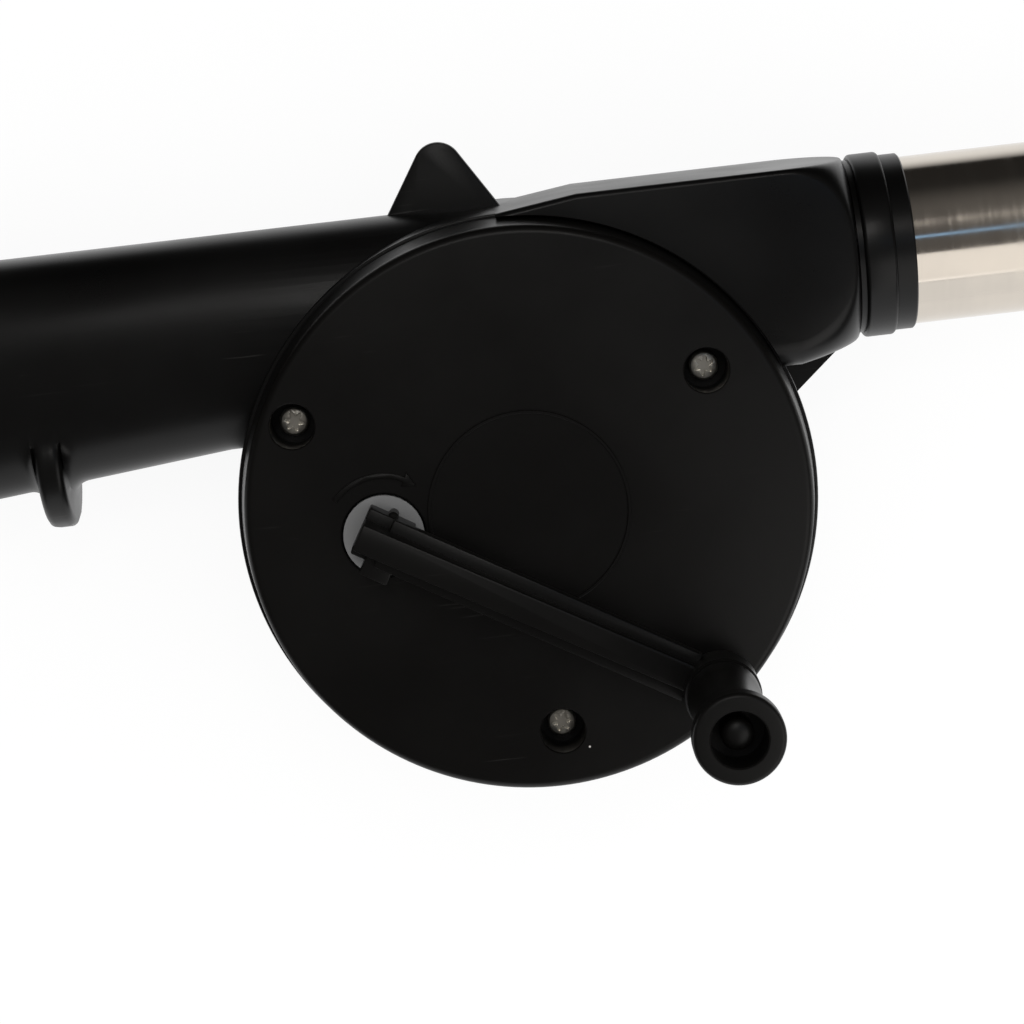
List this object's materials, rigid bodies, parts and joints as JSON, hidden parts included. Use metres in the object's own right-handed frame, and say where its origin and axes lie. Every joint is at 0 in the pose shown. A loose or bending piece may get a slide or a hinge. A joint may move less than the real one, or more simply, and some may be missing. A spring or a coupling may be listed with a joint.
{
  "type": "hand-cranked barbecue blower",
  "caption": "Hand-cranked blower: drum housing with a side crank and knob, geared fan inside, oval grip on one side and a round steel nozzle tube on the other.",
  "frame": {"origin": "where the fan axis meets the flat rear face that the blower lies on", "axes": "+Z out of the front cover along the fan and crank axes, +X along the nozzle tube, +Y towards the edge of the drum that the grip and the nozzle leave from"},
  "size_m": [0.2779, 0.1134, 0.088],
  "materials": {
    "black_plastic": "black moulded polypropylene, satin",
    "white_plastic": "white moulded acetal, satin",
    "polished_steel": "polished stainless steel",
    "screw_steel": "plated steel, dull bright",
    "shaft_steel": "ground steel",
    "sintered_bronze": "sintered bronze, dull"
  },
  "bodies": {
    "housing": {"main_housing": "black_plastic", "handle_grip": "black_plastic", "front_cover": "black_plastic", "cover_screw_1": "screw_steel", "cover_screw_2": "screw_steel", "cover_screw_3": "screw_steel", "gear_plate": "black_plastic", "plate_screw_1": "screw_steel", "plate_screw_2": "screw_steel", "plate_screw_3": "screw_steel", "rear_bush": "sintered_bronze", "front_bush": "sintered_bronze", "idler_axle": "shaft_steel", "drive_axle": "shaft_steel", "nozzle_collar": "black_plastic", "nozzle_tube": "polished_steel", "handle_end_cap": "black_plastic"},
    "crank": {"drive_gear": "white_plastic", "crank_arm": "black_plastic", "knob_pin": "black_plastic"},
    "knob": {"crank_knob": "black_plastic"},
    "idler": {"idler_gear": "sintered_bronze"},
    "fan": {"fan_shaft": "shaft_steel", "fan_washer": "shaft_steel", "fan_pinion": "white_plastic", "impeller": "white_plastic"}
  },
  "joints": [
    {"name": "crank_turn", "type": "hinge", "parent": "housing", "child": "crank", "pos_m": [-0.025, -0.0013, 0.044], "axis": [0, 0, 1], "continuous": true},
    {"name": "knob_spin", "type": "hinge", "parent": "crank", "child": "knob", "pos_m": [0.02871, -0.03306, 0.057], "axis": [0, 0, 1], "continuous": true},
    {"name": "idler_spin", "type": "hinge", "parent": "housing", "child": "idler", "pos_m": [-0.01113, -0.01851, 0.026], "axis": [0, 0, 1], "continuous": true},
    {"name": "fan_spin", "type": "hinge", "parent": "housing", "child": "fan", "pos_m": [0, 0, 0.026], "axis": [0, 0, 1], "continuous": true}
  ],
  "couplings": [
    {"joint": "idler_spin", "follows": "crank_turn", "ratio": -3.3333},
    {"joint": "fan_spin", "follows": "crank_turn", "ratio": 11.667}
  ]
}
